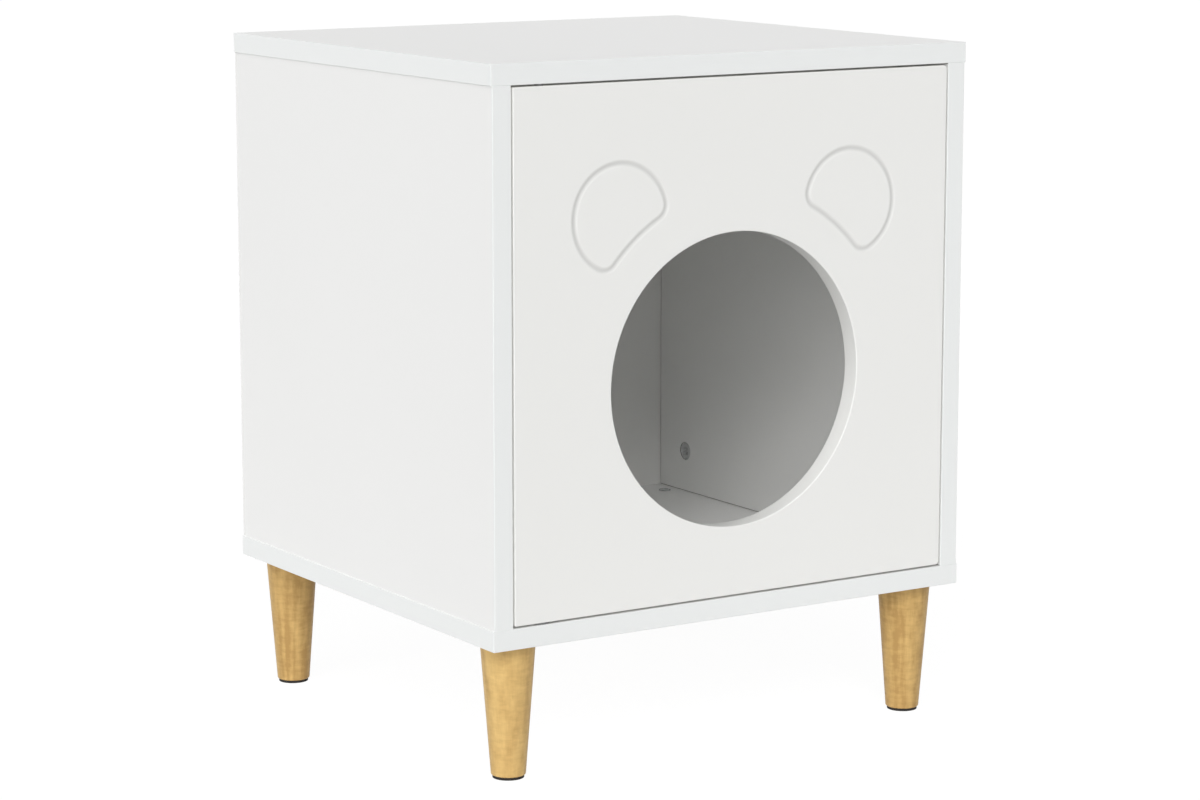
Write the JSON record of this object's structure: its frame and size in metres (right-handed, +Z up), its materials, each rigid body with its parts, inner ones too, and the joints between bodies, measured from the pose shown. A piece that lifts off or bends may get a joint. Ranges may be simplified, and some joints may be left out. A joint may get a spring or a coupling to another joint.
{
  "type": "cat house",
  "caption": "Box-shaped gloss white cat house on tapered wooden legs, with an inset hinged door that has a round way in and routed ear outlines.",
  "frame": {"origin": "on the floor under the middle of the cabinet", "axes": "+Z up, the door faces -Y, and +X is to the right of someone who looks at the door"},
  "size_m": [0.41, 0.385, 0.51],
  "materials": {
    "gloss_board": "gloss white coating on board",
    "edge_strip": "gloss white plastic edging",
    "painted_door": "gloss white paint on fibreboard",
    "back_board": "white coated thin board",
    "leg_wood": "clear satin lacquer, straight grain",
    "foot_felt": "dense dark felt",
    "zinc": "die-cast zinc, satin",
    "steel": "bright zinc-plated steel",
    "pin_steel": "blackened steel",
    "dark_nylon": "dark moulded nylon",
    "white_plastic": "moulded plastic",
    "magnet": "dull ferrite"
  },
  "bodies": {
    "case": {"top_panel": "gloss_board", "bottom_panel": "gloss_board", "left_side_panel": "gloss_board", "right_side_panel": "gloss_board", "top_edge_strips": "edge_strip", "bottom_edge_strips": "edge_strip", "left_front_strip": "edge_strip", "right_front_strip": "edge_strip", "back_panel": "back_board", "legs": "leg_wood", "foot_pads": "foot_felt", "leg_bolts": "steel", "left_cam_locks": "zinc", "right_cam_locks": "zinc", "left_cam_bolts": "steel", "right_cam_bolts": "steel", "lower_pivot_pin": "pin_steel", "upper_pivot_pin": "pin_steel", "pivot_washer": "dark_nylon", "catch_housing": "white_plastic", "catch_magnet": "magnet", "catch_pole_plates": "steel"},
    "door": {"door_panel": "painted_door", "strike_plate": "steel"}
  },
  "joints": [
    {"name": "door_hinge", "type": "hinge", "parent": "case", "child": "door", "pos_m": [-0.1625, -0.185, 0.305], "axis": [0, 0, -1], "range_deg": [0, 130]}
  ]
}
